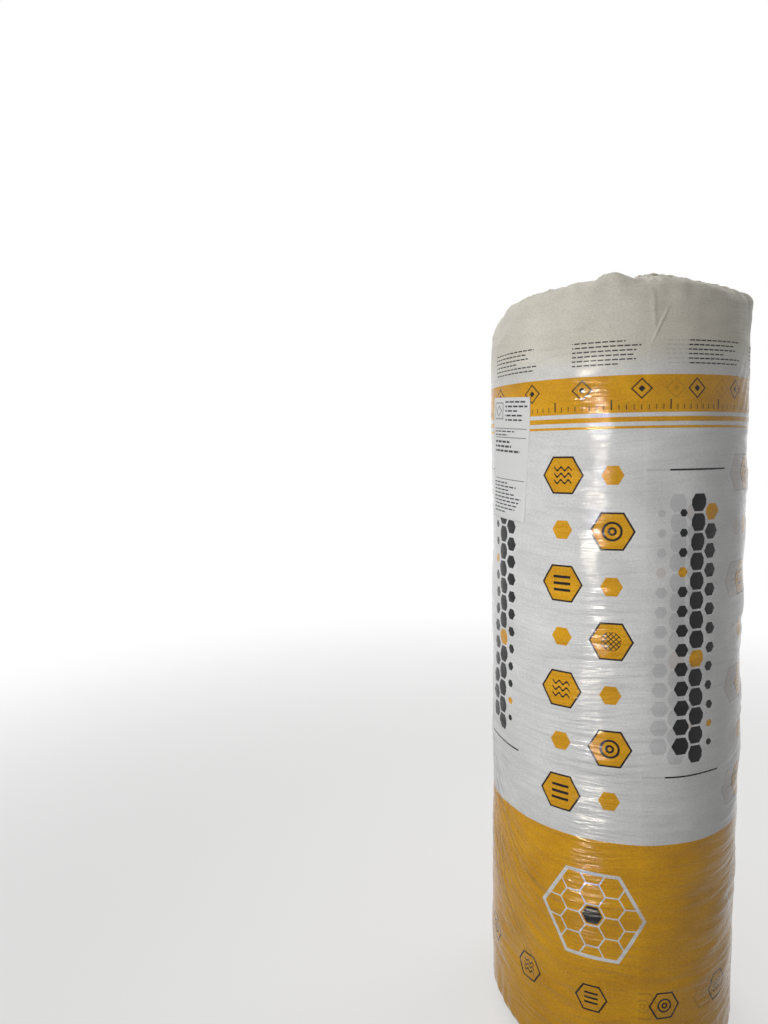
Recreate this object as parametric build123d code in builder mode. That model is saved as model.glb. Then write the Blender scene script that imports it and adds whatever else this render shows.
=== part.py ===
from build123d import *
import math
import os

# Roll of glass-wool insulation felt in printed film, standing on its end.
# Millimetres. +Z up, origin on the floor under the axis, front towards -Y.
# Angles round the roll are measured from the front, positive towards +X.

os.makedirs("parts", exist_ok=True)

# The felt: width as sold, thickness as squeezed in the roll, and how often it goes round
felt_width = 1200.0
felt_thickness = 22.0
turn_count = 8
bore_diameter = 46.0

# The ends of the turns: each turn bulges between the grooves where two turns meet
groove_depth = 6.0
groove_width = 12.0

# The film, drawn thicker than the real 0.1 mm, its clearance round the felt and its corners
film_thickness = 0.7
film_fit = 0.3
shoulder_radius = 16.0

# The folded ends of the film: a collar on each end, gathered into pleats round an opening
opening_diameter = 224.0
pleat_count = 24
pleat_rise = 2.0

# The lap: here the film lies double, from its inner end, underneath, to its outer end
lap_start = 13.0
lap_width = 234.0

# The paper label stuck on the film
label_width = 100.0
label_height = 192.0
label_thickness = 0.4
label_glue = 0.1
label_angle = -52.0
label_drop = 155.0

# The felt's own radii follow from its turns
bore_radius = bore_diameter / 2
felt_radius = bore_radius + turn_count * felt_thickness

# The film lies round the felt
film_inner_radius = felt_radius + film_fit
film_radius = film_inner_radius + film_thickness
opening_radius = opening_diameter / 2

# Inside each round shoulder the film's corner is cut straight, where the gathers fill it.
# Half the skin's thickness is left at the ends of that cut, and the felt's corner is
# parallel to it.
corner_rise = math.sqrt(
    (shoulder_radius - film_thickness / 2) ** 2 - (shoulder_radius - film_thickness) ** 2
)
film_chamfer = shoulder_radius - film_thickness - corner_rise
felt_chamfer = film_chamfer - film_fit * (2 - math.sqrt(2))

# A fold takes up twice its own width of the film that the smaller opening leaves over
pleat_width = math.pi * (film_radius - opening_radius) / pleat_count
pleat_start = film_radius - shoulder_radius

# Heights from the floor, which the lower pleats stand on
lower_collar = pleat_rise
inner_base = lower_collar + film_thickness
felt_base = inner_base + film_fit
felt_top = felt_base + felt_width
inner_top = felt_top + film_fit
upper_collar = inner_top + film_thickness
label_top = felt_top - label_drop


def plane_at(angle):
    """The upright plane through the axis at an angle from the front."""
    return Plane.XZ.rotated((0, 0, angle - 90))


# Felt: one turned solid with its bore, its turns grooved into both ends
with BuildPart() as wool_roll:
    with BuildSketch(Plane.XZ) as felt_section:
        with Locations((bore_radius, felt_base)):
            Rectangle(felt_radius - bore_radius, felt_width, align=(Align.MIN, Align.MIN))
        outer_corners = felt_section.vertices().group_by(Axis.X)[-1]
        chamfer(outer_corners, length=felt_chamfer)
        for turn in range(1, turn_count):
            seam_radius = bore_radius + turn * felt_thickness
            with Locations((seam_radius, felt_top)):
                Polygon(
                    (-groove_width / 2, 0),
                    (0, -groove_depth),
                    (groove_width / 2, 0),
                    align=None,
                    mode=Mode.SUBTRACT,
                )
            with Locations((seam_radius, felt_base)):
                Polygon(
                    (-groove_width / 2, 0),
                    (groove_width / 2, 0),
                    (0, groove_depth),
                    align=None,
                    mode=Mode.SUBTRACT,
                )
    revolve(axis=Axis.Z)
wool_roll.part.label = "wool_roll"

# Film: a turned skin with rounded shoulders and a flat collar at each end
with BuildPart() as film_sleeve:
    with BuildSketch(Plane.XZ) as film_section:
        with Locations((opening_radius, lower_collar)):
            Rectangle(
                film_radius - opening_radius,
                upper_collar - lower_collar,
                align=(Align.MIN, Align.MIN),
            )
        shoulders = film_section.vertices().group_by(Axis.X)[-1]
        fillet(shoulders, radius=shoulder_radius)
        Polygon(
            (opening_radius, inner_base),
            (film_inner_radius - film_chamfer, inner_base),
            (film_inner_radius, inner_base + film_chamfer),
            (film_inner_radius, inner_top - film_chamfer),
            (film_inner_radius - film_chamfer, inner_top),
            (opening_radius, inner_top),
            align=None,
            mode=Mode.SUBTRACT,
        )
    revolve(axis=Axis.Z)

    # The lap: one more layer on the straight wall
    lap_arc = math.degrees(lap_width / film_radius)
    with BuildSketch(plane_at(lap_start)) as lap_section:
        with Locations((film_radius, lower_collar + shoulder_radius)):
            Rectangle(
                film_thickness,
                upper_collar - lower_collar - 2 * shoulder_radius,
                align=(Align.MIN, Align.MIN),
            )
    revolve(axis=Axis.Z, revolution_arc=lap_arc)

    # The pleats: wedges that start at the shoulder and are widest at the opening
    pleat_corner = opening_radius * math.sin(pleat_width / opening_radius)
    pleat_reach = opening_radius * math.cos(pleat_width / opening_radius)
    for collar, rise in ((upper_collar, pleat_rise), (lower_collar, -pleat_rise)):
        with BuildSketch(Plane.XY.offset(collar)) as pleat_sketch:
            with PolarLocations(0, pleat_count):
                Polygon(
                    (pleat_start, 0),
                    (pleat_reach, pleat_corner),
                    (opening_radius, 0),
                    align=None,
                )
        extrude(amount=rise)
film_sleeve.part.label = "film_sleeve"

# Label: a strip of paper bent round the film
with BuildPart() as label:
    label_arc = math.degrees(label_width / film_radius)
    with BuildSketch(plane_at(label_angle - label_arc / 2)) as label_section:
        with Locations((film_radius + label_glue, label_top)):
            Rectangle(label_thickness, label_height, align=(Align.MIN, Align.MAX))
    revolve(axis=Axis.Z, revolution_arc=label_arc)
label.part.label = "label"

export_step(wool_roll.part, "parts/wool_roll.step")
export_step(film_sleeve.part, "parts/film_sleeve.step")
export_step(label.part, "parts/label.step")
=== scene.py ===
# Insulation roll: felt wound on itself, wrapped in printed film that is folded in over both ends.
# Metres, +Z up, front towards -Y. Angles run round the roll from the front towards +X.
import bpy
import math
from functools import partialmethod
import numpy as np
from mathutils import Matrix, Vector


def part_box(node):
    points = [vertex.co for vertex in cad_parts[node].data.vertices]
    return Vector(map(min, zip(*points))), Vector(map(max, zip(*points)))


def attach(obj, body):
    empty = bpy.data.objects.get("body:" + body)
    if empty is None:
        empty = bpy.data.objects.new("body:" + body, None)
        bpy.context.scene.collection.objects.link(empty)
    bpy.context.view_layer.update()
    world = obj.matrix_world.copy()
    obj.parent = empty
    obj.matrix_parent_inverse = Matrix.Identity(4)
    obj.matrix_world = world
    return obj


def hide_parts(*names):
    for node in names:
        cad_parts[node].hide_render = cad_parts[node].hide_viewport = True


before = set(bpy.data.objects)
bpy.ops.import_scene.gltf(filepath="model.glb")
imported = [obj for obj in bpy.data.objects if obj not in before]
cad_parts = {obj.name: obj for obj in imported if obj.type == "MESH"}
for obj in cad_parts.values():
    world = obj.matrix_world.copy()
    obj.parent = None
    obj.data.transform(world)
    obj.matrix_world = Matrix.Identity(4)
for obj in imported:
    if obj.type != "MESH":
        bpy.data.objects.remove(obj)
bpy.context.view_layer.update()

woolLow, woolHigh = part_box("wool_roll")
labelLow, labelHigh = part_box("label")
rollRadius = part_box("film_sleeve")[1].x
roundWall = 2 * math.pi * rollRadius
print("frame loaded: roll of radius %.4f, felt from %.4f to %.4f" % (rollRadius, woolLow.z, woolHigh.z))


# Shapes worked out on whole arrays


def smooth(value, low, high):
    # 3 t squared minus 2 t cubed, where t goes from 0 at low to 1 at high
    t = np.clip((value - low) / (high - low), 0, 1)
    return t * t * (3 - 2 * t)


def bell(angle, centre, width):
    # e to the minus (d / width) squared, d being the way round to the centre, in degrees
    away = (np.degrees(angle) - centre + 180) % 360 - 180
    return np.exp(-((away / width) ** 2))


def waves(angle, up, seed, around, along, count=26):
    # a sum of cosines of (whole turns x angle + slope x up + phase), divided by its spread; around
    # and along say how far apart the crests lie round the wall and up it
    draw = np.random.default_rng(seed)
    total = 0
    for crest in range(count):
        heading = draw.uniform(0, 2 * math.pi)
        size = draw.uniform(0.55, 1.45)  # waves of uneven length
        turns = round(size * math.cos(heading) * roundWall / around)
        slope = size * math.sin(heading) * 2 * math.pi / along
        total = total + np.cos(turns * angle + slope * up + draw.uniform(0, 2 * math.pi))
    return total * math.sqrt(2 / count)


def gridFaces(rows, columns, first=0):
    # the quads of a grid of points that is stored row by row
    corner = first + np.arange(rows - 1)[:, None] * columns + np.arange(columns - 1)
    quads = np.stack([corner, corner + 1, corner + columns + 1, corner + columns], axis=-1)
    return quads.reshape(-1, 4).tolist()


def listed(*sides):
    # arrays of x, y and perhaps z as one list of places
    return np.stack(np.broadcast_arrays(*sides), axis=-1).reshape(-1, len(sides))


def turned(radius, angle, height):
    # x = r sin a, y = minus r cos a, z = height
    return listed(radius * np.sin(angle), -radius * np.cos(angle), height)


def bakeMap(places, margin):
    # places on a flat piece, fitted into the unit square with a margin
    low, high = places.min(0), places.max(0)
    return margin + (1 - 2 * margin) * (places - low) / (high - low)


def makePiece(name, points, faces, material, maps=()):
    # a smooth mesh at the origin; each map gives a place on the material for every point
    mesh = bpy.data.meshes.new(name)
    mesh.from_pydata(points.tolist(), [], faces)
    corners = np.empty(len(mesh.loops), np.int32)
    mesh.loops.foreach_get("vertex_index", corners)
    for mapName, places in maps:
        layer = mesh.uv_layers.new(name=mapName)
        layer.data.foreach_set("uv", places[corners].astype(np.float32).ravel())
    mesh.polygons.foreach_set("use_smooth", np.ones(len(mesh.polygons), bool))
    mesh.materials.append(material)
    piece = bpy.data.objects.new(name, mesh)
    bpy.context.scene.collection.objects.link(piece)
    return piece


# Shader maths


class Wire:
    # one output of a node; an expression on wires adds the Math nodes that work it out
    def __init__(self, nodes, socket):
        self.nodes = nodes
        self.socket = socket

    def math(self, operation, *others, clamp=False):
        settings = {"operation": operation, "use_clamp": clamp}
        return self.nodes.add("ShaderNodeMath", settings, [self, *others])

    __add__ = __radd__ = partialmethod(math, "ADD")
    __sub__ = partialmethod(math, "SUBTRACT")
    __mul__ = __rmul__ = partialmethod(math, "MULTIPLY")
    __truediv__ = partialmethod(math, "DIVIDE")
    __mod__ = partialmethod(math, "FLOORED_MODULO")
    __gt__ = partialmethod(math, "GREATER_THAN")
    __lt__ = partialmethod(math, "LESS_THAN")
    __abs__ = partialmethod(math, "ABSOLUTE")
    floor = partialmethod(math, "FLOOR")
    rounded = partialmethod(math, "ROUND")
    most = partialmethod(math, "MAXIMUM")
    least = partialmethod(math, "MINIMUM")

    def __rsub__(self, other):
        return self.nodes.add("ShaderNodeMath", {"operation": "SUBTRACT"}, [other, self])

    def __neg__(self):
        return 0.0 - self

    def chance(self, other):
        # a random number from 0 to 1 for each pair of whole numbers
        place = self.nodes.join(self, other)
        return self.nodes.add("ShaderNodeTexWhiteNoise", {"noise_dimensions": "2D"}, {"Vector": place})


class Nodes:
    # the nodes of a material or of the world
    def __init__(self, owner):
        self.owner = owner
        owner.use_nodes = True
        self.tree = owner.node_tree
        self.tree.nodes.clear()

    def add(self, kind, settings=None, inputs=(), output=0):
        # a node with its settings, then a value or a wire for each socket, in order or by name
        node = self.tree.nodes.new(kind)
        for key, value in (settings or {}).items():
            setattr(node, key, value)
        pairs = inputs.items() if isinstance(inputs, dict) else enumerate(inputs)
        for key, value in pairs:
            if isinstance(value, Wire):
                self.tree.links.new(value.socket, node.inputs[key])
            else:
                node.inputs[key].default_value = value
        if node.outputs:
            return Wire(self, node.outputs[output])

    def outputs(self, wire, names):
        # several outputs of the node that a wire comes from
        return [Wire(self, wire.socket.node.outputs[name]) for name in names]

    def split(self, wire):
        return self.outputs(self.add("ShaderNodeSeparateXYZ", {}, [wire]), "XYZ")

    def join(self, x, y, z=0.0):
        return self.add("ShaderNodeCombineXYZ", {}, [x, y, z])

    def onPiece(self):
        # x, y and z of a place on the piece
        return self.split(self.add("ShaderNodeTexCoord", output="Object"))

    def onMap(self, name):
        # x and y of a place on one of the piece's maps
        return self.split(self.add("ShaderNodeUVMap", {"uv_map": name}))[:2]

    def noise(self, coordinates, scales, detail, roughness):
        # cloudy noise; each scale says how many waves lie in one unit of its coordinate
        scaled = [value * scale for value, scale in zip(coordinates, scales)]
        inputs = {"Vector": self.join(*scaled), "Scale": 1.0, "Detail": detail, "Roughness": roughness}
        return self.add("ShaderNodeTexNoise", {}, inputs)

    def mix(self, factor, a, b):
        settings = {"data_type": "RGBA", "blend_type": "MIX"}
        return self.add("ShaderNodeMix", settings, {0: factor, 6: a, 7: b}, output=2)

    def bump(self, height, depth, under=None):
        inputs = {"Height": height, "Distance": depth, "Strength": 1.0}
        if under is not None:
            inputs["Normal"] = under
        return self.add("ShaderNodeBump", {}, inputs)

    def seen(self):
        # 1 for rays from the camera, reflected or let through, and 0 for those that only light things
        names = ("Is Camera Ray", "Is Glossy Ray", "Is Transmission Ray")
        camera, glossy, through = self.outputs(self.add("ShaderNodeLightPath"), names)
        return camera.most(glossy).most(through)

    def finish(self, color, roughness, specular, normal, others=None):
        inputs = {"Base Color": color, "Roughness": roughness, "Specular IOR Level": specular}
        shader = self.add("ShaderNodeBsdfPrincipled", {}, {**inputs, "Normal": normal, **(others or {})})
        self.add("ShaderNodeOutputMaterial", {}, {"Surface": shader})
        return self.owner


def paint(red, green, blue):
    # a colour for a shader's socket
    return (red, green, blue, 1.0)


def inside(distance, soft=0.0004):
    # 1 where the distance to an edge is below zero, 0 where it is above, and a soft step between
    return distance.math("MULTIPLY_ADD", -1 / soft, 0.5, clamp=True)


def ramp(value, low, high):
    # (value minus low) / (high minus low), kept between 0 and 1
    return (value - low).math("DIVIDE", high - low, clamp=True)


def between(value, low, high, fade):
    # 1 between two bounds, falling to 0 over the last stretch before each
    rising = (value - low).math("DIVIDE", fade, clamp=True)
    return rising * (high - value).math("DIVIDE", fade, clamp=True)


def lengthOf(x, y):
    return (x * x + y * y).math("SQRT")


def awayFrom(across, centre, repeat):
    # the way along the repeat to the nearest copy of a centre
    return (across - (centre - repeat / 2)) % repeat - repeat / 2


def hexagon(x, y, size):
    # distance to a hexagon with its corners at the left and right: size is half its width across flats
    tilted = abs(x) * (math.sqrt(3) / 2) + abs(y) * 0.5
    return abs(y).most(tilted) - size


def honeycomb(x, y, pitch):
    # distance to the middle of the nearest cell, square to the cell's sides: the cells stand on two
    # lattices, and the second is half a cell higher, in the columns between
    apart = pitch * math.sqrt(3) / 2
    first = hexagon(awayFrom(x, 0.0, 2 * apart), awayFrom(y, 0.0, pitch), 0.0)
    second = hexagon(awayFrom(x, apart, 2 * apart), awayFrom(y, pitch / 2, pitch), 0.0)
    return first.least(second)


def dashes(x, y, half, left, right, chance, d):
    # distance to a row of dashes of half that thickness, which ends sooner or later by chance
    end = left + (right - left) * (chance * (1 - d["shortest"]) + d["shortest"])
    pitch, inked = d["dash"]
    gap = (x + chance * d["shift"]) % pitch - inked
    return (abs(y) - half).most(left - x).most(x - end).most(gap)


filmPrint = {  # in metres on the flat film: across it and up it
    "repeat": 0.3224,
    "white": (paint(0.62, 0.62, 0.615), paint(0.89, 0.89, 0.88)),  # thin and thick places of the ink
    "cream": (paint(0.62, 0.58, 0.49), paint(0.88, 0.84, 0.74)),
    "gold": (paint(0.54, 0.235, 0.002), paint(0.94, 0.48, 0.008)),
    "black": paint(0.010, 0.010, 0.012),
    "ghosts": {  # what shows through from the layer below, and a painted shade along the film's inner end: how much of it, and its colour
        "yellow": (0.55, paint(0.60, 0.52, 0.47)),
        "black": (0.42, paint(0.42, 0.42, 0.44)),
        # painted shade: a thin grey line along the film's inner end, over the step there
        "seam": (0.20, paint(0.42, 0.42, 0.44)),
        "blackOnGold": (0.35, paint(0.26, 0.13, 0.005)),
    },
    "creamFrom": (1.055, 1.110),
    "lowerBlockTop": 0.3845,
    "bands": ((1.0415, 0.052), (1.00625, 0.0069), (0.9952, 0.0036)),  # middle and height
    "line": 0.0013,
    "trail": {
        "across": 0.2090, "lowest": 0.448, "pitch": 0.0800, "count": 7, "shift": 0.036,
        "large": 0.0275, "small": 0.0135,
    },
    "comb": {
        "across": 0.0480, "up": 0.520, "rows": 14, "pitch": 0.0283, "gap": 0.0030,
        "smaller": 0.33, "lean": 0.62,  # share that outer cells lose, and how it changes up the comb
        "yellow": (11.0, 3.0, 4.0),  # where 3 x row + column leaves 4 when divided by 11
        "rules": (0.4880, 0.9350), "ruleReach": 0.047,
    },
    "net": {
        "across": 0.2224, "up": 0.2650, "size": 0.066, "pitch": 0.033, "line": 0.0011, "ring": 0.0026,
    },
    "row": {"up": 0.1330, "count": 3, "size": 0.021},
    "scale": {
        "ticks": ((32, 0.0006, 0.007), (4, 0.00096, 0.014)),  # how many, half as thick, and length
        "foot": 0.004, "diamondRise": 0.033, "diamond": 0.0135, "diamondCore": 0.35,
    },
    "block": {
        "foot": 1.080, "rows": 6, "pitch": 0.0062, "left": 0.026, "width": 0.104, "line": 0.0009,
        "shortest": 0.55, "dash": (0.0096, 0.0078),  # from one dash to the next, and its inked part
        "shift": 0.02, "soft": 0.0005,
    },
    "figures": {  # shares of a hexagon's size
        "bars": (0.36, 0.075, 0.48),  # how far apart, half as thick, how far out
        "rings": (0.46, 0.17, 0.06),  # both radii, half as thick
        "waves": (0.34, 0.055, 0.50, 0.42, 0.09),  # like the bars, then a wave's length and height
        "mesh": (0.27, 0.035, 0.52),  # cell, half as thick, radius
    },
}


def threeLines(y, apart, half):
    # distance to three level lines
    return abs(abs(y) - apart).least(abs(y)) - half


def hexFigure(x, y, kind, size, f=filmPrint["figures"]):
    # black lines in a hexagon; kind 0 is three bars, 1 two rings, 2 three waves, 3 a mesh of diamonds
    away = lengthOf(x, y)
    apart, half, reach = (share * size for share in f["bars"])
    bars = threeLines(y, apart, half).most(abs(x) - reach)
    large, small, half = (share * size for share in f["rings"])
    rings = abs(away - large).least(abs(away - small)) - half
    apart, half, reach, wave, height = (share * size for share in f["waves"])
    ripple = (x * (2 * math.pi / wave)).math("SINE") * height
    ripples = threeLines(y + ripple, apart, half).most(abs(x) - reach)
    cell, half, reach = (share * size for share in f["mesh"])
    mesh = abs((x + y) % cell - cell / 2).least(abs((x - y) % cell - cell / 2)) - half
    mesh = mesh.most(away - reach)
    chosen = 0
    for number, figure in enumerate((bars, rings, ripples, mesh)):
        chosen = (abs(kind - number) < 0.5) * inside(figure) + chosen
    return chosen


def trailInk(across, up, p):
    # a winding trail up the roll: each row has a large hexagon with a figure on one side and a
    # small plain one on the other, and the sides change from row to row
    m, line = p["trail"], p["line"]
    number = ((up - m["lowest"]) / m["pitch"]).rounded().most(0.0).least(m["count"] - 1.0)
    shift = ((number % 2.0) * 2 - 1) * m["shift"]
    x, y = awayFrom(across, m["across"], p["repeat"]), up - (number * m["pitch"] + m["lowest"])
    large = hexagon(x - shift, y, m["large"])
    small = hexagon(x + shift, y, m["small"])
    black = inside(abs(large + line) - line).most(hexFigure(x - shift, y, number % 4.0, m["large"]))
    return inside(large).most(inside(small)), black


def combInk(across, up, p):
    # a tall comb of three columns of cells between two short rules: the outer columns grow and
    # shrink, and one cell in eleven is yellow
    m = p["comb"]
    columnPitch = m["pitch"] * math.sqrt(3) / 2
    x = awayFrom(across, m["across"], p["repeat"])
    column = (x / columnPitch).rounded().most(-1.0).least(1.0)
    outer = abs(column)
    y = up - m["up"] - outer * (m["pitch"] / 2)
    row = (y / m["pitch"]).rounded().most(0.0).least(m["rows"] - 1.0 - outer)
    along = row / (m["rows"] - 1.0) - 0.5
    size = (m["pitch"] - m["gap"]) / 2 * (1 - outer * (m["smaller"] - column * along * m["lean"]))
    cell = inside(hexagon(x - column * columnPitch, y - row * m["pitch"], 0.0) - size)
    divisor, perRow, remainder = m["yellow"]
    isYellow = abs((row * perRow + column) % divisor - remainder) < 0.5
    black = cell * (1 - isYellow)
    for height in m["rules"]:
        black = black.most(inside((abs(up - height) - p["line"]).most(abs(x) - m["ruleReach"])))
    return cell * isYellow, black


def netInk(across, up, p):
    # low on the lower block, a large hexagon filled with a net: its pale lines and its black middle
    m = p["net"]
    x, y = awayFrom(across, m["across"], p["repeat"]), up - m["up"]
    edge = hexagon(x, y, m["size"])
    toSide = m["pitch"] / 2 - honeycomb(x, y, m["pitch"])
    pale = (inside(toSide - m["line"]) * inside(edge)).most(inside(abs(edge) - m["ring"]))
    return pale, inside(hexagon(x, y, m["pitch"] / 2 - 3 * m["line"]))


def rowInk(across, up, p):
    # small outlined hexagons with figures, all the way round below the net
    m, line = p["row"], p["line"]
    start, pitch = p["net"]["across"], p["repeat"] / m["count"]
    x, y = awayFrom(across, start, pitch), up - m["up"]
    number = ((across - start) / pitch).rounded() % m["count"]
    outline = inside(abs(hexagon(x, y, m["size"]) + line) - line)
    return outline.most(hexFigure(x, y, number, m["size"]))


def scaleInk(across, up, p):
    # a scale of short and long ticks on the upper band, with diamonds between the long ones
    m = p["scale"]
    middle, height = p["bands"][0]
    over = up - (middle - height / 2)
    longPitch = p["repeat"] / m["ticks"][-1][0]
    x = awayFrom(across, longPitch / 2, longPitch)
    diamond = abs(x) + abs(over - m["diamondRise"]) - m["diamond"]
    core = diamond + m["diamond"] * (1 - m["diamondCore"])
    black = inside(abs(diamond) - p["line"]).most(inside(core))
    for count, half, length in m["ticks"]:
        tick = abs(awayFrom(across, 0.0, p["repeat"] / count)) - half
        black = black.most(inside(tick.most(abs(over - m["foot"] - length / 2) - length / 2)))
    return black


def blockInk(across, up, p):
    # over the band, two blocks of fine rows of dashes
    m, pitch = p["block"], p["repeat"] / 2
    number = (across / pitch).floor()
    row = ((up - m["foot"]) / m["pitch"]).floor()
    x = across - number * pitch - m["left"]
    y = up - m["foot"] - (row + 0.5) * m["pitch"]
    edge = dashes(x, y, m["line"], 0.0, m["width"], row.chance(number), m)
    return inside(edge, m["soft"]) * (row > -0.5) * (row < m["rows"] - 0.5)


def printInk(across, up, p=filmPrint):
    # how much yellow and how much black ink lies at a place, each from 0 to 1
    yellow = inside(up - p["lowerBlockTop"])
    for middle, height in p["bands"]:
        yellow = yellow.most(inside(abs(up - middle) - height / 2))
    pale, black = netInk(across, up, p)
    yellow = yellow * (1 - pale)
    for inks in (trailInk, combInk):
        moreYellow, moreBlack = inks(across, up, p)
        yellow, black = yellow.most(moreYellow), black.most(moreBlack)
    for ink in (rowInk, scaleInk, blockInk):
        black = black.most(ink(across, up, p))
    return yellow, black


filmFinish = {
    "roughness": 0.12,
    "roughnessVaries": 0.10,
    "creamRougher": 0.34,
    "specular": 0.24,
    "clouds": 1.05,  # how strongly the ink's thin places and its grain show
    "grain": 1.5,
    "noises": {  # waves in a metre across the film and up it, octaves, how rough
        "clouds": ((14.0, 22.0), 3.0, 0.6),
        "grain": ((288.0, 480.0), 2.0, 0.7),
        "drift": ((3.0, 4.0), 1.0, 0.5),
        "fine": ((12.0, 85.0), 2.0, 0.5),
        "finer": ((30.0, 190.0), 2.0, 0.5),
        "crinkle": ((55.0, 80.0), 3.0, 0.6),
        "patches": ((7.0, 6.0), 2.0, 0.5),
        "fanned": ((9.0, 70.0), 2.0, 0.5),
    },
    "drift": 0.05,
    "patches": (0.32, 0.6325),  # the noise at which the smooth patches end and the wrinkled ones are full
    "patchy": 0.35,
    "gathered": (-0.200, 0.030),  # most wrinkles lie here, measured from the film's inner end
    "gatheredFade": 0.07,
    "calm": 0.45,  # share of them elsewhere
    "fineDepth": 0.0064,
    "finerDepth": 0.0006,
    "crinkleDepth": 0.0006,
    "grainDepth": 0.00006,
    "seamShade": (0.0008, 0.0010),  # half the width of the painted shade over the inner end, and its soft edge
    "seamStep": 0.0022,
    "seamDepth": 0.00035,
    "fanFrom": -0.105,  # left of here, measured from the film's inner end, wrinkles fan out upwards
    "fanReach": 0.250,
    "fanBend": 4.3,
    "fanHeights": (0.090, 0.370),
    "fanFades": (0.05, 0.06),
    "fanDepth": 0.0095,
    "folds": (  # single creases: from and to, measured from the film's inner end and up; width, height
        ((0.0340, 1.171), (0.0010, 1.102), 0.0036, 0.0007),
        ((0.0050, 1.192), (0.0110, 1.120), 0.0060, 0.0007),
        ((-0.0480, 0.701), (0.0220, 0.690), 0.0024, 0.0006),
        ((-0.1060, 1.132), (-0.0700, 1.144), 0.0044, 0.0009),
    ),
}


def foldLine(x, y, start, stop, width, fade=0.3):
    # a rounded ridge along a line between two places: t squared x (3 minus 2 t), where t is 1 on
    # the line and falls to 0 at its width and over a share of its length at both ends
    run = (stop[0] - start[0], stop[1] - start[1])
    length = math.hypot(*run)
    alongIt = ((x - start[0]) * run[0] + (y - start[1]) * run[1]) / length
    off = ((x - start[0]) * run[1] - (y - start[1]) * run[0]) / length
    t = abs(off).math("MULTIPLY_ADD", -1 / width, 1.0, clamp=True)
    t = t * between(alongIt, 0.0, length, fade * length)
    return t * t * (3 - 2 * t)


def filmMaterial(f=filmFinish, p=filmPrint):
    # printed film: where it lies double, the print of the layer below shows through as a grey ghost,
    # and the ends are creamier, and less glossy where it lies loose on the felt
    nodes = Nodes(bpy.data.materials.new("printed_film"))
    across, up = nodes.onMap("filmPrint")
    past = across - roundWall  # how far past the film's inner end

    def noise(name, height=up):
        return nodes.noise((across, height), *f["noises"][name])

    yellow, black = printInk(across % p["repeat"], up)
    ghostYellow, ghostBlack = printInk(past % p["repeat"], up)
    isDouble = inside(-past)
    clouds, grain = noise("clouds"), noise("grain")
    shade = (clouds - 0.5) * f["clouds"] + (grain - 0.5) * f["grain"] + 0.5
    low, high = p["creamFrom"]
    loose = ramp(up, low, high).most(ramp(-up, 0.0, high - low))
    white = nodes.mix(loose, nodes.mix(shade, *p["white"]), nodes.mix(shade, *p["cream"]))
    halfShade, softShade = f["seamShade"]
    ghosts = {
        "yellow": ghostYellow * isDouble,
        "black": ghostBlack * isDouble,
        # painted shade: a thin grey line darkens the film along its inner end
        "seam": inside(abs(past) - halfShade, softShade),
    }
    for name, mask in ghosts.items():
        share, tint = p["ghosts"][name]
        white = nodes.mix(mask * share, white, tint)
    share, tint = p["ghosts"]["blackOnGold"]
    gold = nodes.mix(ghosts["black"] * share, nodes.mix(shade, *p["gold"]), tint)
    color = nodes.mix(black, nodes.mix(yellow, white, gold), p["black"])

    # wrinkles run round the roll and bend a little; they are strong in patches and in front
    bentUp = up + (noise("drift") - 0.5) * f["drift"]
    strength = ramp(noise("patches"), *f["patches"]) * f["patchy"] + (1 - f["patchy"])
    gathered = between(past, *f["gathered"], f["gatheredFade"])
    strength = strength * (gathered * (1 - f["calm"]) + f["calm"])

    # a fan of wrinkles takes their place at the left, and climbs with the square of the way past its start
    climb = f["fanFrom"] - past
    fanUp = up - climb * climb * f["fanBend"]
    sideFade, heightFade = f["fanFades"]
    isFan = between(climb, 0.0, f["fanReach"], sideFade) * between(fanUp, *f["fanHeights"], heightFade)
    strength = strength * (1 - isFan)

    folds = 0
    for start, stop, width, height in f["folds"]:
        folds = foldLine(past, up, start, stop, width) * height + folds
    normal = None
    for height, depth in (
        (strength * noise("fine", bentUp), f["fineDepth"]),
        (strength * noise("finer", bentUp), f["finerDepth"]),
        (isFan * noise("fanned", fanUp), f["fanDepth"]),
        (abs(noise("crinkle") - 0.5), f["crinkleDepth"]),
        (inside(-past, f["seamStep"]), f["seamDepth"]),
        (folds, 1.0),
        (grain, f["grainDepth"]),
    ):
        normal = nodes.bump(height, depth, normal)
    roughness = loose * f["creamRougher"] + (clouds - 0.5) * f["roughnessVaries"] + f["roughness"]
    return nodes.finish(color, roughness, f["specular"], normal)


# The film's shape

filmWall = {
    "lapStart": math.radians(13),  # the film's inner end lies here, under the outer layer
    "lapWidth": 0.234,  # the outer layer ends this much further round
    "lapStep": 0.0005,
    "lapClimb": (-0.007, 0.003),  # it climbs over the inner end from here to here, past a full turn
    "hiddenColumns": 12,
    "tucked": math.radians(3),  # how far the ends' inner edge reaches under the flap
    "columns": 200,
    "rows": 330,
    "swells": (  # wide dents and soft bulges: height, seed, how far apart round the wall and up it
        (0.0012, 11, 0.33, 0.36),
        (0.0006, 12, 0.115, 0.120),
    ),
    "patches": (13, 0.18, 0.14),  # seed and how far apart
    "patchStrength": (0.6, 0.4, 1.5),  # mean, swing, and how sharp the patches' borders are
    "tension": 0.00034,
    "tensionWaves": (14, 0.150, 0.021, 40),
    "tensionBend": (0.012, 2, 1),  # height, how many times round the roll, and start in radians
    "slantWaves": (15, 0.25, 0.25),
    "slantWaver": 0.9,
    "gathers": 0.0005,
    "gatherWaves": (0.027, 0.150),
    "gatherReach": 0.045,
    "edgeLift": 0.0009,
    "edgeReach": 0.007,
    "frillWaves": (18, 1, 0.075),
    "frillStrength": (0.5, 0.5, 1.3),
    "floorClear": 0.0002,
}

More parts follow.
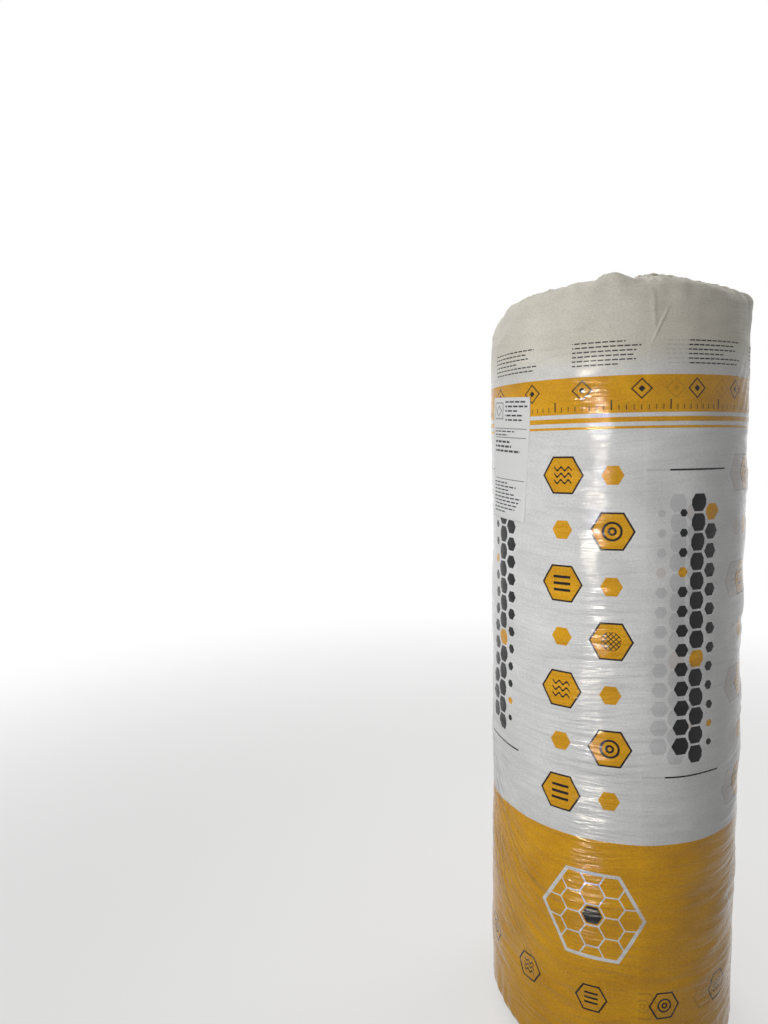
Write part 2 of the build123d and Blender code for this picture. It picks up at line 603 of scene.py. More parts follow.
topEnd = {
    "side": 1,
    "rim": 1.1985,
    "rimSwells": (  # centre and width in degrees, and rise
        (-1, 7, 0.0095),
        (-82, 28, -0.026),
        (60, 30, -0.009),
        (148, 26, -0.007),
        (-150, 20, 0.004),
    ),
    "shoulder": 0.016,
    "shoulderWaver": 0.0016,
    "shoulderSwells": ((-82, 30, 0.024), (60, 30, 0.004), (150, 24, 0.010)),
    "rimWaver": 0.0011,
    "lip": 1.2098,
    "lipWaver": 0.0030,
    "lipRadius": 0.0026,
    "crumple": 0.0008,
    "opening": 0.112,
    "openingWaver": 0.0045,
    "pleats": 28,
    "pleatHeight": 0.0062,
    "fold": 2.5,
    "swirl": 0.55,
    "seed": 300,
    "gatherSeed": 16,
    "columnsPerWall": 3,
    "steps": (8, 16, 6, 2),
}

bottomEnd = {
    "side": -1,
    "rim": 0.0030,
    "rimSwells": ((-75, 30, 0.0015), (120, 40, 0.0025)),
    "shoulder": 0.020,
    "shoulderWaver": 0.0020,
    "shoulderSwells": ((-75, 30, 0.004), (110, 40, 0.008)),
    "rimWaver": 0.0003,
    "lip": 0.0024,
    "lipWaver": 0.0003,
    "lipRadius": 0.0020,
    "crumple": 0.0,
    "opening": 0.112,
    "openingWaver": 0.004,
    "pleats": 26,
    "pleatHeight": 0.0021,
    "fold": 2.2,
    "swirl": -0.5,
    "seed": 500,
    "gatherSeed": 17,
    "columnsPerWall": 2,
    "steps": (5, 9, 4, 1),
}

pleating = {  # what both ends have
    "waves": {  # added to the end's seed, and how far apart they lie round the roll and inwards
        "shoulder": (1, 0.20, 1),
        "rim": (2, 0.045, 1),
        "opening": (3, 0.19, 1),
        "strayFar": (4, 0.25, 1),
        "strayNear": (5, 0.09, 1),
        "wander": (6, 0.10, 0.06),
        "size": (7, 0.12, 1),
        "crumple": (8, 0.020, 0.016, 40),
        "lip": (9, 0.075, 1),
    },
    "strays": (0.20, 0.05),  # how far pleats lie off their even places, in pleats
    "wander": 0.10,
    "sizeVaries": 0.28,
    "sizes": (0.35, 1.6),
    "foldSizes": (0.5, 1.15),
    "foldPower": 0.9,
    "risePower": 0.7,
    "flatUnder": 0.8,
    "underHeadings": (1.1 * math.pi, 1.9 * math.pi),  # the pleats flatten between these
    "crumpleRise": 5,
    "lipSlope": 0.15,  # the collar's slope at the lip, as a share of its slope at the rim
    "steepest": math.radians(60),
    "underLip": 0.016,
    "reliefFade": 0.035,
    "lapFade": 0.05,
    "lapLost": 0.5,
}


def endWaves(name, angle, inward, end):
    # waves of their own for each part of an end
    seed, *apart = pleating["waves"][name]
    return waves(angle, inward, end["seed"] + seed, *apart)


def uneven(name, angle, end):
    # a size of an end at each angle: waves about its mean, and a bell for each swell
    size = end[name] + end[name + "Waver"] * endWaves(name, angle, 0, end)
    for centre, width, rise in end.get(name + "Swells", ()):
        size = size + rise * bell(angle, centre, width)
    return size


def endSizes(angle, end, q=pleating):
    # at each angle: shoulder radius, height of the rim, slope of the collar at the rim, opening;
    # the slope is found by trying again with the run that the last slope leaves
    names = ("shoulder", "rim", "opening", "lip")
    shoulder, rim, opening, lip = (uneven(name, angle, end) for name in names)
    slope = 0 * angle
    for attempt in range(6):
        run = rollRadius - shoulder * (1 - np.sin(slope)) - opening
        middleSlope = np.arctan(end["side"] * (lip - rim) / run)
        slope = np.clip(middleSlope / ((1 + q["lipSlope"]) / 2), 0, q["steepest"])
    return shoulder, rim, slope, opening


def wallEnd(angle, end):
    # where the straight wall meets the shoulder of an end
    shoulder, rim, slope, opening = endSizes(angle, end)
    return rim - end["side"] * shoulder * np.cos(slope)


def endOutline(angle, end, q=pleating):
    # the outline of an end, walked in small straight steps from the wall: round the shoulder,
    # in along the collar, round the lip and back under; heading 90 degrees is up the wall
    shoulder, rim, slope, opening = endSizes(angle, end)
    upWall, atRim, atLip, under = math.pi / 2, math.pi - slope, math.pi - q["lipSlope"] * slope, 2 * math.pi
    run = rollRadius - shoulder * (1 - np.sin(slope)) - opening
    stretches = (  # length, and heading at its start and at its end
        (shoulder * (atRim - upWall), upWall, atRim),
        (run / np.cos((1 + q["lipSlope"]) / 2 * slope), atRim, atLip),
        (end["lipRadius"] * (under - atLip), atLip, under),
        (q["underLip"] + 0 * angle, under, under),
    )
    radii = [rollRadius + 0 * angle]
    heights = [wallEnd(angle, end)]
    headings = [upWall + 0 * angle]
    walked = [0 * angle]
    for (length, start, stop), steps in zip(stretches, end["steps"]):
        for step in range(steps):
            middle = start + (stop - start) * (step + 0.5) / steps
            radii.append(radii[-1] + length / steps * np.cos(middle))
            heights.append(heights[-1] + end["side"] * length / steps * np.sin(middle))
            headings.append(start + (stop - start) * (step + 1) / steps + 0 * angle)
            walked.append(walked[-1] + length / steps)
    return np.array(radii), np.array(heights), np.array(headings), np.array(walked)


def crease(around, up, start, stop, width, height, fade=0.25):
    # a ridge along a line between two places on the wall: e to the minus (way off it / width)
    # squared, faded over a share of its length at both ends
    run = np.array(stop) - np.array(start)
    length = np.hypot(*run)
    x, y = around - start[0], up - start[1]
    alongIt = (x * run[0] + y * run[1]) / length
    off = (x * run[1] - y * run[0]) / length
    shown = smooth(alongIt, 0, fade * length) * (1 - smooth(alongIt, (1 - fade) * length, length))
    return height * shown * np.exp(-((off / width) ** 2))


creases = (
    ((-0.235, 1.120), (-0.120, 1.184), 0.0060, 0.0022),
    ((-0.225, 1.085), (-0.090, 1.165), 0.0080, 0.0016),
    ((-0.205, 1.160), (-0.165, 1.080), 0.0050, -0.0014),
    ((0.120, 0.865), (0.240, 0.905), 0.0050, 0.0010),
    ((-0.250, 0.640), (-0.120, 0.600), 0.0060, 0.0009),
    ((0.330, 1.150), (0.400, 1.040), 0.0060, 0.0016),
    ((0.520, 0.900), (0.640, 0.860), 0.0060, 0.0012),
    ((-0.420, 1.140), (-0.500, 1.050), 0.0060, 0.0016),
    ((-0.480, 0.420), (-0.360, 0.360), 0.0060, 0.0014),
)

slants = (  # fans of slanting wrinkles: centre round and up, reach, lean in degrees, spacing, height
    ((-0.172, 0.275), (0.070, 0.120), 56, 0.0185, 0.00085),
    ((0.470, 0.330), (0.090, 0.130), 125, 0.0200, 0.00080),
    ((-0.520, 0.930), (0.100, 0.110), 52, 0.0210, 0.00070),
    ((0.255, 1.080), (0.070, 0.080), 118, 0.0190, 0.00060),
)


def patchy(waving, mean, swing, sharp):
    # mean + swing x tanh of (sharp x waves)
    return mean + swing * np.tanh(sharp * waving)


def wallRelief(angle, up, w=filmWall):
    # how far the film stands off the true cylinder: swells, wrinkles that run round the roll, fans of
    # slanting ones as cosines of the way across them, single creases, and gathers that fade from the
    # ends as e to the minus (way / reach)
    around = ((angle + math.pi) % (2 * math.pi) - math.pi) * rollRadius
    relief = 0
    for height, seed, *apart in w["swells"]:
        relief = relief + height * waves(angle, up, seed, *apart)
    patches = patchy(waves(angle, up, *w["patches"]), *w["patchStrength"])
    bend, times, start = w["tensionBend"]
    bentUp = up + bend * np.sin(times * angle + start)
    relief = relief + w["tension"] * patches * waves(angle, bentUp, *w["tensionWaves"])
    for (aroundAt, upAt), (aroundReach, upReach), lean, spacing, height in slants:
        x, y = around - aroundAt, up - upAt
        across = x * math.sin(math.radians(lean)) + y * math.cos(math.radians(lean))
        fade = np.exp(-((x / aroundReach) ** 2) - (y / upReach) ** 2)
        bent = w["slantWaver"] * waves(angle, up, *w["slantWaves"])
        relief = relief + height * fade * np.cos(2 * math.pi * across / spacing + bent)
    for start, stop, width, height in creases:
        relief = relief + crease(around, up, start, stop, width, height)
    for end in (topEnd, bottomEnd):
        way = end["side"] * (wallEnd(angle, end) - up)
        near = np.exp(-np.maximum(way, 0) / w["gatherReach"])
        relief = relief + w["gathers"] * near * waves(angle, up, end["gatherSeed"], *w["gatherWaves"])
    return relief


def lapLift(angle, up, w=filmWall):
    # the outer layer climbs over the inner end after one turn, and its free edge stands off a little
    around = (angle - w["lapStart"]) * rollRadius
    start, stop = w["lapClimb"]
    lift = w["lapStep"] * smooth(around, roundWall + start, roundWall + stop)
    toEdge = np.maximum(roundWall + w["lapWidth"] - around, 0)
    frill = patchy(waves(0 * angle, up, *w["frillWaves"]), *w["frillStrength"])
    return lift + w["edgeLift"] * frill * np.exp(-toEdge / w["edgeReach"])


def pleated(angle, outline, end, q=pleating):
    # the folds of the gathered film, worked out from how far in a point is (0 wall, 1 lip):
    # height h / 2 x (1 minus sin 2 pi p) and a shift round the roll of c / (2 pi) x sin 2 pi p
    # pleats, so that past c = 1 each pleat lies over the next
    radii, heights, headings, walked = outline
    inward = np.clip((rollRadius - radii) / (rollRadius - end["opening"]), 0, 1.1)
    inwardToLip = np.clip(inward, 0, 1)
    even = end["pleats"] * angle / (2 * math.pi)
    far, near = q["strays"]
    stray = far * endWaves("strayFar", angle, 0, end) + near * endWaves("strayNear", angle, 0, end)
    perRadian = np.gradient(even + stray, angle)
    phase = even + stray + end["swirl"] * inward
    phase = phase + q["wander"] * inward * endWaves("wander", angle, walked, end)
    size = np.clip(1 + q["sizeVaries"] * endWaves("size", angle, 0, end), *q["sizes"])
    fold = end["fold"] * inwardToLip ** q["foldPower"] * np.clip(size, *q["foldSizes"])
    loose = 1 - q["flatUnder"] * smooth(headings, *q["underHeadings"])
    rise = end["pleatHeight"] * inwardToLip ** q["risePower"] * size * loose
    swing = np.sin(2 * math.pi * phase)
    crumple = end["crumple"] * np.clip(q["crumpleRise"] * inward, 0, 1) * loose
    height = rise / 2 * (1 - swing) + crumple * endWaves("crumple", angle, walked, end)
    shift = fold / (2 * math.pi) * swing / perRadian
    return height, shift


def endPoints(angle, end, w=filmWall, q=pleating):
    # the end's points, row by row from the wall to the edge tucked under, and their places on the
    # flat film
    outline = endOutline(angle, end)
    radii, heights, headings, walked = outline
    up = heights[0] + end["side"] * walked
    pleat, shift = pleated(angle, outline, end)
    relief = wallRelief(angle, up) * (1 - smooth(walked, 0, q["reliefFade"]))
    lap = lapLift(angle, up) * (1 - q["lapLost"] * smooth(walked, 0, q["lapFade"]))
    lift = relief + lap + pleat
    height = heights - end["side"] * lift * np.cos(headings)
    if end["side"] < 0:
        height = np.maximum(height, w["floorClear"])  # nothing sinks into the floor
    flat = (angle - w["lapStart"]) * rollRadius
    return turned(radii + lift * np.sin(headings), angle + shift, height), listed(flat, up)


def makeFilm(material, w=filmWall):
    # one sheet, wound on with a lap: a wall, and at each end a ring of six or five sided faces that
    # joins it to the end's finer grid
    lapEnd = w["lapStart"] + w["lapWidth"] / rollRadius
    firstShown = lapEnd - w["tucked"]
    last = lapEnd + 2 * math.pi
    hidden = np.linspace(w["lapStart"], firstShown, w["hiddenColumns"] + 1)[:-1]
    shown = np.linspace(firstShown, last, w["columns"] + 1)
    angle = np.concatenate([hidden, shown])
    share = (np.arange(w["rows"]) + 1)[:, None] / (w["rows"] + 1)
    foot, head = wallEnd(angle, bottomEnd), wallEnd(angle, topEnd)
    up = foot + (head - foot) * share
    radius = rollRadius + wallRelief(angle, up) + lapLift(angle, up)
    points = [turned(radius, angle, up)]
    places = [listed((angle - w["lapStart"]) * rollRadius, up)]
    columns = len(angle)
    faces = gridFaces(w["rows"], columns)
    first = w["rows"] * columns
    for end in (topEnd, bottomEnd):
        fine = end["columnsPerWall"]
        fineAngle = np.linspace(firstShown, last, w["columns"] * fine + 1)
        endPlaces, endFlat = endPoints(fineAngle, end)
        rows = sum(end["steps"]) + 1
        quads = np.array(gridFaces(rows, len(fineAngle), first))
        wallRow = (w["rows"] - 1) * columns if end["side"] > 0 else 0
        cell = np.arange(w["columns"])
        left = wallRow + w["hiddenColumns"] + cell
        ring = [first + cell * fine + part for part in range(fine + 1)]
        if end["side"] > 0:
            joint = np.stack([left, left + 1, *ring[::-1]], axis=-1)
        else:
            quads = quads[:, ::-1]
            joint = np.stack([*ring, left + 1, left], axis=-1)
        faces += quads.tolist() + joint.tolist()
        points.append(endPlaces)
        places.append(endFlat)
        first += len(endPlaces)
    points, places = np.concatenate(points), np.concatenate(places)
    print("film: %d points, flat size %.3f x %.3f" % (len(points), *np.ptp(places, axis=0)))
    maps = (("filmPrint", places), ("OFBake", bakeMap(places, margin=0.002)))
    return makePiece("film", points, faces, material, maps)


# The felt

felt = {
    "columns": 360,
    "thickness": 0.022,
    "bore": 0.023,
    "boreRows": 24,
    "boreLength": 1.2,
    "boreUneven": 0.0006,
    "boreWaves": (40, 0.05, 0.05),
    "boreEdge": 0.004,
    "grooveDepth": 0.0065,
    "turnPower": 3.2,  # the higher it is, the flatter the turns and the narrower their grooves
    "fluffs": ((0.00044, 0.030, 0.008, 40), (0.00036, 0.011, 0.003, 40)),  # height, how far apart
    "pressed": (0.098, 0.110),  # between these radii the film begins to press on the end
    "pressedDepth": 0.0012,
    "pressedFlat": 0.6,
    "endClear": 0.0034,  # between the felt and the film on the ends, and round its wall
    "wallClear": 0.0045,
    "clearFrom": (0.02, 0.06),
    "reliefFade": 0.03,
    "wallRows": 30,
    "top": (104, 41),  # rows out from the bore, and seed
    "bottom": (40, 43),
    "skinStep": (0.002, 0.0004),
    "blendFrom": 0.82,
}


def feltEnd(radius, angle, level, side, seed, f=felt):
    # the end of the felt: a turn falls off to its groove as |2 share minus 1| to a power, share being
    # how far across the turn a place lies, and the turns grow outwards by one each time round
    share = ((radius - f["bore"]) / f["thickness"] + angle / (2 * math.pi)) % 1
    lift = -f["grooveDepth"] * np.abs(2 * share - 1) ** f["turnPower"]
    for number, (height, *apart) in enumerate(f["fluffs"]):
        lift = lift + height * waves(angle, radius, seed + number, *apart)
    pressed = smooth(radius, *f["pressed"])
    atBore = 1 - smooth(radius, f["bore"], f["bore"] + f["boreEdge"])
    lift = lift * (1 - f["pressedFlat"] * pressed) - f["pressedDepth"] * (pressed + atBore)
    return level + side * lift


def feltOver(angle, end, level, rows, seed, f=felt):
    # an end's rows: out over its turns, then along the skin just inside the film, back to the wall
    side = end["side"]
    radii, heights, headings, walked = endOutline(angle, end)
    shoulderSteps, collarSteps = end["steps"][:2]
    keep = slice(0, shoulderSteps + collarSteps - collarSteps // 3)
    clear = f["wallClear"] + (f["endClear"] - f["wallClear"]) * smooth(walked, *f["clearFrom"])
    skinRadius = (radii - clear * np.sin(headings))[keep]
    relief = wallRelief(angle, heights[0]) * (1 - smooth(walked[keep], 0, f["reliefFade"]))
    skinRadius = skinRadius + relief
    skinHeight = (heights + side * clear * np.cos(headings))[keep]
    stepIn, stepDown = f["skinStep"]
    share = np.linspace(0, 1, rows)[:, None]
    radius = f["bore"] + (skinRadius[-1] - stepIn - f["bore"]) * share
    height = feltEnd(radius, angle, level, side, seed)
    blend = smooth(share, f["blendFrom"], 1.0)
    height = height * (1 - blend) + (skinHeight[-1] - side * stepDown) * blend
    return np.concatenate([radius, skinRadius[::-1]]), np.concatenate([height, skinHeight[::-1]])


def makeFelt(material, f=felt):
    # one closed skin: up the bore, out over the top, down inside the film and in under the bottom
    angle = np.linspace(0, 2 * math.pi, f["columns"] + 1)[:-1]
    topRadius, topHeight = feltOver(angle, topEnd, woolHigh.z, *f["top"])
    footRadius, footHeight = (part[::-1] for part in feltOver(angle, bottomEnd, woolLow.z, *f["bottom"]))
    up = np.linspace(0, 1, f["boreRows"])[1:-1, None]
    boreRadius = f["bore"] + f["boreUneven"] * waves(angle, f["boreLength"] * up, *f["boreWaves"])
    boreHeight = footHeight[-1] + (topHeight[0] - footHeight[-1]) * up
    down = np.linspace(0, 1, f["wallRows"])[1:-1, None]
    head, foot = wallEnd(angle, topEnd), wallEnd(angle, bottomEnd)
    wallHeight = head + (foot - head) * down
    wallRadius = rollRadius - f["wallClear"] + wallRelief(angle, wallHeight)
    radius = np.concatenate([boreRadius, topRadius, wallRadius, footRadius])
    height = np.concatenate([boreHeight, topHeight, wallHeight, footHeight])
    rows, columns = radius.shape
    corner = np.arange(rows)[:, None] * columns + np.arange(columns)
    right, above = np.roll(corner, -1, axis=1), np.roll(corner, -1, axis=0)
    across = np.roll(right, -1, axis=0)
    faces = np.stack([corner, above, across, right], axis=-1).reshape(-1, 4).tolist()
    print("felt: %d rows of %d points" % (rows, columns))
    return makePiece("felt", turned(radius, angle, height), faces, material)


tufts = {
    "count": 2600,
    "seed": 60,
    "steps": 4,
    "ring": (0.025, 0.106),  # they lie between these radii
    "length": (0.006, 0.020),
    "scatter": 0.7,  # off the way round the roll, in radians
    "bend": 0.9,
    "rise": 0.0035,
    "off": 0.0002,
    "tips": (0.4, 0.0004),  # how far from the middle, as a share of the length, and how far down
    "size": 0.00014,
    "taper": (1.15, 1.8),  # thickness in the middle, and how fast it falls towards the ends
    "sizes": (0.6, 1.4),
}


def makeTufts(material, s=tufts):
    # loose fibres on the open part of the top: each is a bent three-sided strand, thin at its ends,
    # that rises as 1 minus (2 t) squared, t being the way along it from its middle
    draw = np.random.default_rng(s["seed"])
    count, steps = s["count"], s["steps"]
    inner, outer = s["ring"]
    radius = np.sqrt(draw.uniform(inner ** 2, outer ** 2, count))
    angle = draw.uniform(0, 2 * math.pi, count)
    length = draw.uniform(*s["length"], count)
    heading = angle + draw.normal(0, s["scatter"], count)
    bend = draw.normal(0, s["bend"], count)
    rise = draw.uniform(0.0, s["rise"], count)
    t = np.linspace(-0.5, 0.5, steps)[:, None]
    turn = heading + bend * t
    x = radius * np.sin(angle) + length * t * np.cos(turn)
    y = -radius * np.cos(angle) + length * t * np.sin(turn)
    around = np.arctan2(x, -y) % (2 * math.pi)
    z = feltEnd(np.hypot(x, y), around, woolHigh.z, 1, felt["top"][1]) + s["off"]
    tipFrom, tipDown = s["tips"]
    z = z + rise * (1 - 4 * t * t) - tipDown * (np.abs(t) > tipFrom)
    thickest, thinner = s["taper"]
    thick = s["size"] * (thickest - thinner * np.abs(t)) * draw.uniform(*s["sizes"], count)
    corner = np.arange(3) * 2 * math.pi / 3
    ring = np.stack([
        x[..., None] - (thick * np.sin(turn))[..., None] * np.cos(corner),
        y[..., None] + (thick * np.cos(turn))[..., None] * np.cos(corner),
        z[..., None] + thick[..., None] * np.sin(corner),
    ], axis=-1)
    points = ring.transpose(1, 0, 2, 3).reshape(-1, 3)
    one = []
    for step in range(steps - 1):
        for side in range(3):
            other = (side + 1) % 3
            one.append([3 * step + side, 3 * step + other, 3 * step + 3 + other, 3 * step + 3 + side])
    caps = [[2, 1, 0], [3 * steps - 3, 3 * steps - 2, 3 * steps - 1]]
    firsts = np.arange(count)[:, None, None] * 3 * steps
    sides = (firsts + np.array(one)).reshape(-1, 4).tolist()
    ends = (firsts + np.array(caps)).reshape(-1, 3).tolist()
    print("fibres: %d strands" % count)
    return makePiece("felt_fibres", points, sides + ends, material)


feltFinish = {
    "pale": paint(0.86, 0.66, 0.25),
    # the deep brown that the painted shade in the grooves pulls the colour towards
    "deep": paint(0.62, 0.40, 0.10),
    "dark": paint(0.30, 0.18, 0.05),
    "layers": ((16.0, 8.0, 30.0), 4.0, 0.6),  # waves in a turn outwards, in one round and in a metre up
    "fibres": ((70.0, 60.0, 300.0), 3.0, 0.7),
    "fluff": ((260.0, 260.0, 260.0), 3.0, 0.7),
    "fluffPale": (0.35, 1.461),  # the noise at which it starts to pale, and would be fully pale
    "groove": (0.40, 0.525),  # likewise for its painted shade, in turns from a turn's middle
    "grooveShade": 0.55,
    "fibreShare": 0.5,
    "layerDepth": 0.0016,
    "fluffDepth": 0.0012,
    "roughness": 0.95,
    "specular": 0.15,
    "sheen": 0.35,
    "sheenRoughness": 0.6,
}


def feltMaterial(f=feltFinish):
    # fibres laid in thin layers along the turns: noise stretched along the spiral, with a painted shade in
    # the grooves
    nodes = Nodes(bpy.data.materials.new("glass_wool"))
    x, y, z = nodes.onPiece()
    around = x.math("ARCTAN2", -y) / (2 * math.pi)
    turns = (lengthOf(x, y) - felt["bore"]) / felt["thickness"] + around
    layers = nodes.noise((turns, around, z), *f["layers"])
    fibres = nodes.noise((turns, around, z), *f["fibres"])
    fluff = nodes.noise((x, y, z), *f["fluff"])
    groove = ramp(abs(turns % 1.0 - 0.5), *f["groove"])
    color = nodes.mix(layers, f["deep"], f["pale"])
    color = nodes.mix(ramp(fluff, *f["fluffPale"]), color, f["pale"])
    # painted shade: in the grooves between the turns, where shade falls, the colour is pulled towards the
    # deep brown
    color = nodes.mix(groove * f["grooveShade"], color, f["dark"])
    normal = nodes.bump(layers + fibres * f["fibreShare"], f["layerDepth"])
    normal = nodes.bump(fluff, f["fluffDepth"], normal)
    sheen = {"Sheen Weight": f["sheen"], "Sheen Roughness": f["sheenRoughness"]}
    return nodes.finish(color, f["roughness"], f["specular"], normal, sheen)


# The label

labelShape = {
    "width": 0.100,
    "height": 0.192,
    "lean": math.radians(-3.5),
    "columns": 48,
    "rows": 90,
    "off": 0.00045,
    "thickness": 0.00035,
    "cornerLift": 0.0016,
    "cornerPowers": (5, 9),  # the higher, the closer to the label's sides and ends the lift stays
    "lesserCorners": 0.4,
}


def makeLabel(material, s=labelShape):
    # a flat sheet leaned a little, bent round the film and following its dents; its corners stand
    # off as |2 x / width| and |2 y / height|, each to its power, multiplied
    first = math.atan2(labelLow.x, -labelHigh.y)
    last = math.atan2(labelHigh.x, -labelLow.y)
    middle, centre = (first + last) / 2, (labelLow.z + labelHigh.z) / 2
    x = np.linspace(-0.5, 0.5, s["columns"]) * s["width"]
    y = np.linspace(-0.5, 0.5, s["rows"])[:, None] * s["height"]
    around = x * math.cos(s["lean"]) - y * math.sin(s["lean"])
    up = centre + x * math.sin(s["lean"]) + y * math.cos(s["lean"])
    angle = middle + around / rollRadius
    xPower, yPower = s["cornerPowers"]
    corners = np.abs(2 * x / s["width"]) ** xPower * np.abs(2 * y / s["height"]) ** yPower
    corners = corners * np.where(x * y > 0, 1, s["lesserCorners"])
    radius = rollRadius + wallRelief(angle, up) + s["off"] + s["cornerLift"] * corners
    places = listed(x, y)
    maps = (("labelPlace", places), ("OFBake", bakeMap(places, margin=0.01)))
    faces = gridFaces(s["rows"], s["columns"])
    piece = makePiece("paper_label", turned(radius, angle, up), faces, material, maps)
    wall = piece.modifiers.new("thickness", "SOLIDIFY")
    wall.thickness = s["thickness"]
    wall.offset = -1
    print("label: %.3f x %.3f" % (s["width"], s["height"]))
    return piece


labelPrint = {
    "paper": (paint(0.76, 0.76, 0.75), paint(0.80, 0.80, 0.79)),
    "ink": paint(0.03, 0.03, 0.035),
    "rules": (0.0475, 0.0335, -0.0325),
    "rule": 0.0005,
    "ruleReach": 0.044,
    "rows": (  # height of the first row, how many, pitch, thickness, left and right ends
        (0.0890, 5, 0.0070, 0.0026, -0.010, 0.044),
        (0.0430, 2, 0.0055, 0.0020, -0.044, 0.030),
        (0.0265, 3, 0.0072, 0.0034, -0.044, 0.040),
        (-0.0385, 9, 0.0058, 0.0022, -0.044, 0.040),
    ),
    "shortest": 0.5,
    "dash": (0.0135, 0.0110),  # from one dash to the next, and its inked part
    "shift": 0.03,
    "box": (-0.029, 0.0750),
    "boxSize": (0.0125, 0.0006),  # half its width, half its line
    "diamond": (0.0080, 0.0009),
    "soft": 0.0003,
    "fibre": ((900.0, 900.0), 2.0, 0.6),
    "fibreDepth": 0.00005,
    "roughness": 0.42,
    "specular": 0.35,
}


def labelMaterial(p=labelPrint):
    # paper with thin rules, rows of dashes above and below a blank middle, and a diamond in a box
    nodes = Nodes(bpy.data.materials.new("label_paper"))
    x, y = nodes.onMap("labelPlace")
    soft, ink = p["soft"], 0
    for height in p["rules"]:
        ink = inside((abs(y - height) - p["rule"]).most(abs(x) - p["ruleReach"]), soft) + ink
    for number, (top, count, pitch, thick, left, right) in enumerate(p["rows"]):
        row = ((top - y) / pitch + 0.5).floor()
        within = (row > -0.5) * (row < count - 0.5)
        edge = dashes(x, y - top + row * pitch, thick / 2, left, right, row.chance(7.0 * number), p)
        ink = inside(edge, soft) * within + ink
    fromX, fromY = abs(x - p["box"][0]), abs(y - p["box"][1])
    for distance, (size, half) in ((fromX.most(fromY), p["boxSize"]), (fromX + fromY, p["diamond"])):
        ink = inside(abs(distance - size) - half, soft) + ink
    fibre = nodes.noise((x, y), *p["fibre"])
    color = nodes.mix(ink.least(1.0), nodes.mix(fibre, *p["paper"]), p["ink"])
    return nodes.finish(color, p["roughness"], p["specular"], nodes.bump(fibre, p["fibreDepth"]))


# Putting it together

print("making the materials")
filmPaint = filmMaterial()
feltPaint = feltMaterial()
labelPaint = labelMaterial()

film = makeFilm(filmPaint)
feltRoll = makeFelt(feltPaint)
fibres = makeTufts(feltPaint)
label = makeLabel(labelPaint)

for piece, node, slot in (
    (film, "film_sleeve", "printed_film"),
    (feltRoll, "wool_roll", "glass_wool"),
    (fibres, "wool_roll", "glass_wool"),
    (label, "label", "label_paper"),
):
    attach(piece, "root")
    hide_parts(node)
for name, material in (("film_sleeve", filmPaint), ("wool_roll", feltPaint), ("label", labelPaint)):
    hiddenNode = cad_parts[name]
    hiddenNode.data.materials.clear()
    hiddenNode.data.materials.append(material)

# The studio

studio = {
    "white": paint(1, 1, 1),
    "ambient": 0.17,
    "floorRadius": 9.0,
    "floorCorners": 96,
    "floorFade": (0.9, 3.0),
    "floorGlow": 0.55,
    "floorColor": paint(0.80, 0.80, 0.79),
    "floorBounce": paint(0.12, 0.12, 0.117),
    "lights": {  # power, place, size, spread in degrees, place that it points at
        "key": (2.3, (-2.00, -1.60, 1.15), (1.2, 1.2), 50, (0, 0, 0.85)),
        "window": (3.4, (-0.57, -2.43, 0.70), (0.85, 0.30), 80, (0, 0, 0.86)),
        "kicker": (0.8, (-0.55, -2.40, 0.22), (0.75, 0.20), 80, (0, 0, 0.60)),
        "top": (3.6, (-0.30, 0.20, 3.00), (1.4, 1.4), 90, (0, 0, 1.20)),
        "backLeft": (11.0, (-1.40, 2.40, 1.50), (1.6, 1.6), 110, (0, 0, 0.70)),
        "backRight": (10.0, (1.60, 2.20, 1.50), (1.6, 1.6), 110, (0, 0, 0.70)),
    },
    "glintPlaces": ((-0.406, -1.130), (-0.300, -1.160), (-0.194, -1.190)),
    "glintRows": (  # power, height, and height on the film that it points at
        (0.034, 1.05, 1.02),
        (0.040, 0.85, 0.88),
        (0.034, 0.60, 0.72),
        (0.032, 0.30, 0.52),
        (0.026, 0.06, 0.34),
    ),
    "glintSize": (0.10, 0.035),
    "glintSpread": 16,
    "glintAim": (-0.025, -0.198),
    "glintColor": (1.0, 0.94, 0.78),
    "lens": 24.785,
    "sensor": 36,
    "cameraPlace": (0, -1.2484, 0.968),
    "cameraTurns": ((17.973, "Z"), (85.029, "X"), (-0.918, "Z")),  # to the left, up from below, leaned
}


def makeWorld(s=studio):
    # white to the camera and in reflections, otherwise a grey that lights the roll softly
    nodes = Nodes(bpy.data.worlds.new("studio"))
    bpy.context.scene.world = nodes.owner
    soft = nodes.add("ShaderNodeBackground", {}, {"Color": s["white"], "Strength": s["ambient"]})
    white = nodes.add("ShaderNodeBackground", {}, {"Color": s["white"]})
    mixed = nodes.add("ShaderNodeMixShader", {}, [nodes.seen(), soft, white])
    nodes.add("ShaderNodeOutputWorld", {}, {"Surface": mixed})


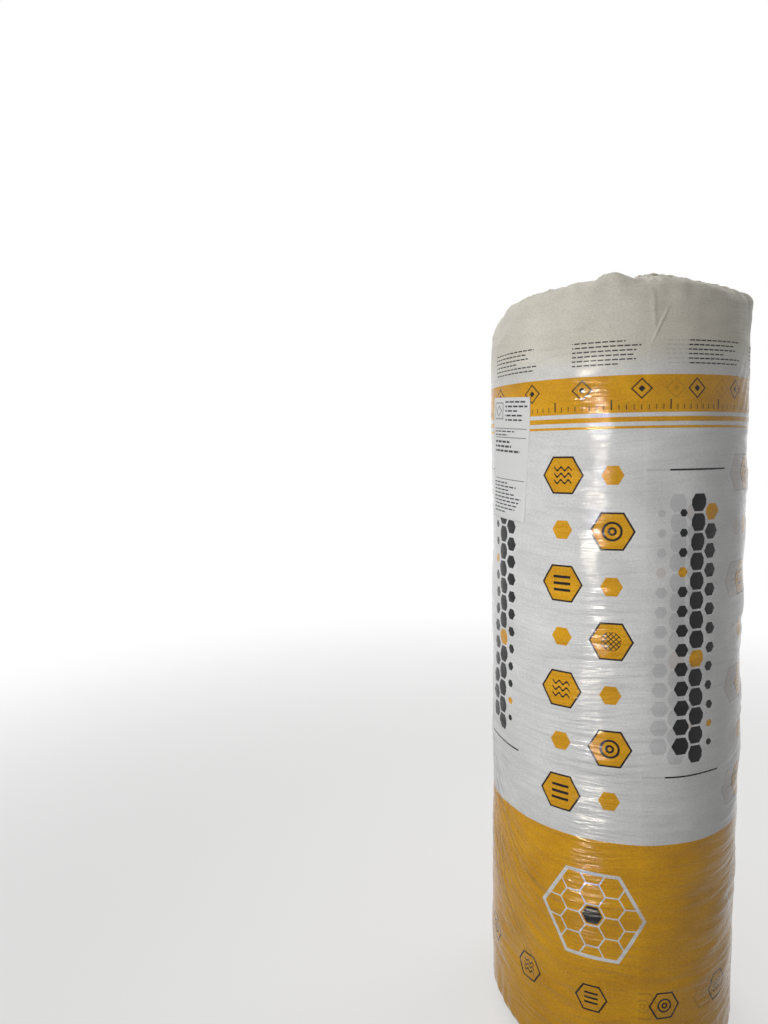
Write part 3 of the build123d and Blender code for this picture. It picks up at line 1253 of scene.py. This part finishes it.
def makeFloor(s=studio):
    # a round floor that takes the shadow near the roll and fades to white further out, as t squared
    # x (3 minus 2 t)
    nodes = Nodes(bpy.data.materials.new("floor"))
    x, y, z = nodes.onPiece()
    t = ramp(lengthOf(x, y), *s["floorFade"])
    seen = nodes.seen()
    color = nodes.mix(seen, s["floorBounce"], s["floorColor"])
    matte = nodes.add("ShaderNodeBsdfDiffuse", {}, {"Color": color})
    glow = nodes.add("ShaderNodeEmission", {}, {"Color": s["white"], "Strength": 1.0})
    share = t * t * (3 - 2 * t) * (1 - s["floorGlow"]) + s["floorGlow"]
    mixed = nodes.add("ShaderNodeMixShader", {}, [share * seen, matte, glow])
    nodes.add("ShaderNodeOutputMaterial", {}, {"Surface": mixed})
    angle = np.linspace(0, 2 * math.pi, s["floorCorners"] + 1)[:-1]
    points = turned(s["floorRadius"], angle, 0)
    floor = makePiece("floor", points, [list(range(len(angle)))], nodes.owner)


def makeLight(name, power, place, size, spread, aim):
    # an area light that faces a place and isn't seen itself
    data = bpy.data.lights.new(name, "AREA")
    data.shape = "RECTANGLE"
    data.size, data.size_y = size
    data.energy = power
    data.spread = math.radians(spread)
    light = bpy.data.objects.new(name, data)
    bpy.context.scene.collection.objects.link(light)
    light.location = place
    away = light.location - Vector(aim)
    light.rotation_euler = away.to_track_quat("Z", "Y").to_euler()
    light.visible_camera = False
    return light


def makeGlints(s=studio):
    # small narrow lights that only show as reflections in the film, broken up by its wrinkles
    for power, height, aimHeight in s["glintRows"]:
        for x, y in s["glintPlaces"]:
            aim = (*s["glintAim"], aimHeight)
            glint = makeLight("glint", power, (x, y, height), s["glintSize"], s["glintSpread"], aim)
            glint.data.color = s["glintColor"]
            glint.visible_diffuse = False


def makeCamera(s=studio):
    # the photo's place: in front of the roll, turned left and a little down
    data = bpy.data.cameras.new("camera")
    data.lens = s["lens"]
    data.sensor_width = s["sensor"]
    camera = bpy.data.objects.new("camera", data)
    bpy.context.scene.collection.objects.link(camera)
    place = Matrix.Translation(s["cameraPlace"])
    for degrees, axis in s["cameraTurns"]:
        place = place @ Matrix.Rotation(math.radians(degrees), 4, axis)
    camera.matrix_world = place
    bpy.context.scene.camera = camera


makeWorld()
makeFloor()
for name, values in studio["lights"].items():
    makeLight(name, *values).visible_glossy = False
makeGlints()
makeCamera()
bpy.context.scene.view_settings.view_transform = "Standard"
print("studio ready")
